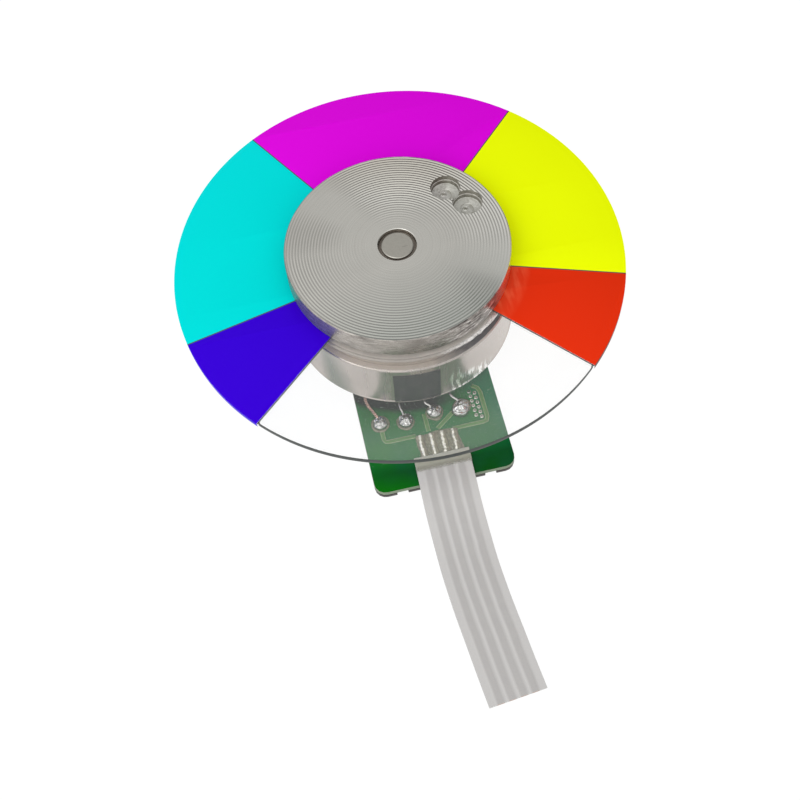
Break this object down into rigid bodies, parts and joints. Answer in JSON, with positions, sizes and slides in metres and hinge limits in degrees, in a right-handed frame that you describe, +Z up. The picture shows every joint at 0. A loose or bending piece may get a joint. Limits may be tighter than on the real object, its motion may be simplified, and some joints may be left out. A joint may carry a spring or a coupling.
{
  "type": "projector color wheel",
  "caption": "Ring of coloured filter glass on the rotor of a flat external-rotor motor, with a turned balance cap, a polished drum, a circuit board tongue and a free flat cable.",
  "frame": {"origin": "on the spin axis, at the underside of the base plate, where the wheel stands", "axes": "+Z up along the spin axis towards the balance cap, -Y along the board's tongue towards the flat cable"},
  "size_m": [0.04, 0.058, 0.0119],
  "materials": {
    "magenta_glass": "dichroic-coated, clear and smooth",
    "cyan_glass": "dichroic-coated, clear and smooth",
    "blue_glass": "dichroic-coated, clear and smooth",
    "clear_glass": "anti-reflection coated, clear and smooth",
    "red_glass": "dichroic-coated, clear and smooth",
    "yellow_glass": "dichroic-coated, clear and smooth",
    "cap_aluminium": "finely turned",
    "hub_aluminium": "turned",
    "cup_steel": "deep-drawn, nickel-plated and polished",
    "ground_steel": "ground",
    "plate_steel": "zinc-plated sheet",
    "core_steel": "stamped",
    "magnet": "sintered, dull",
    "mark": "glossy black ink or film",
    "adhesive": "cured, glossy",
    "retainer": "matte",
    "brass": "turned",
    "bronze": "sintered, oil-soaked",
    "insulator": "matte",
    "copper": "enamelled wire",
    "lead_copper": "enamelled wire",
    "board": "solder mask",
    "solder": "bright solder",
    "cable": "satin film",
    "tape": "clear film"
  },
  "bodies": {
    "base": {"base_plate": "plate_steel", "circuit_board": "board", "bearing_holder": "brass", "sleeve_bearing": "bronze", "thrust_cover": "plate_steel", "thrust_pad": "retainer", "stator_core": "core_steel", "lower_insulator": "insulator", "upper_insulator": "insulator", "coil_1": "copper", "coil_2": "copper", "coil_3": "copper", "coil_4": "copper", "coil_5": "copper", "coil_6": "copper", "coil_7": "copper", "coil_8": "copper", "coil_9": "copper", "solder_joint_1": "solder", "solder_joint_2": "solder", "solder_joint_3": "solder", "solder_joint_4": "solder", "lead_wire_1": "lead_copper", "lead_wire_2": "lead_copper", "lead_wire_3": "lead_copper", "lead_wire_4": "lead_copper", "cable_conductor_1": "solder", "cable_conductor_2": "solder", "cable_conductor_3": "solder", "cable_conductor_4": "solder", "ribbon_cable": "cable", "cable_tape": "tape"},
    "rotor": {"balance_cap": "cap_aluminium", "magenta_segment": "magenta_glass", "cyan_segment": "cyan_glass", "blue_segment": "blue_glass", "clear_segment": "clear_glass", "red_segment": "red_glass", "yellow_segment": "yellow_glass", "glass_adhesive": "adhesive", "rotor_hub": "hub_aluminium", "rotor_cup": "cup_steel", "rotor_magnet": "magnet", "timing_mark": "mark", "shaft": "ground_steel", "shaft_retainer": "retainer"}
  },
  "joints": [
    {"name": "wheel_spin", "type": "hinge", "parent": "base", "child": "rotor", "pos_m": [0, 0, 0], "axis": [0, 0, 1], "continuous": true}
  ]
}
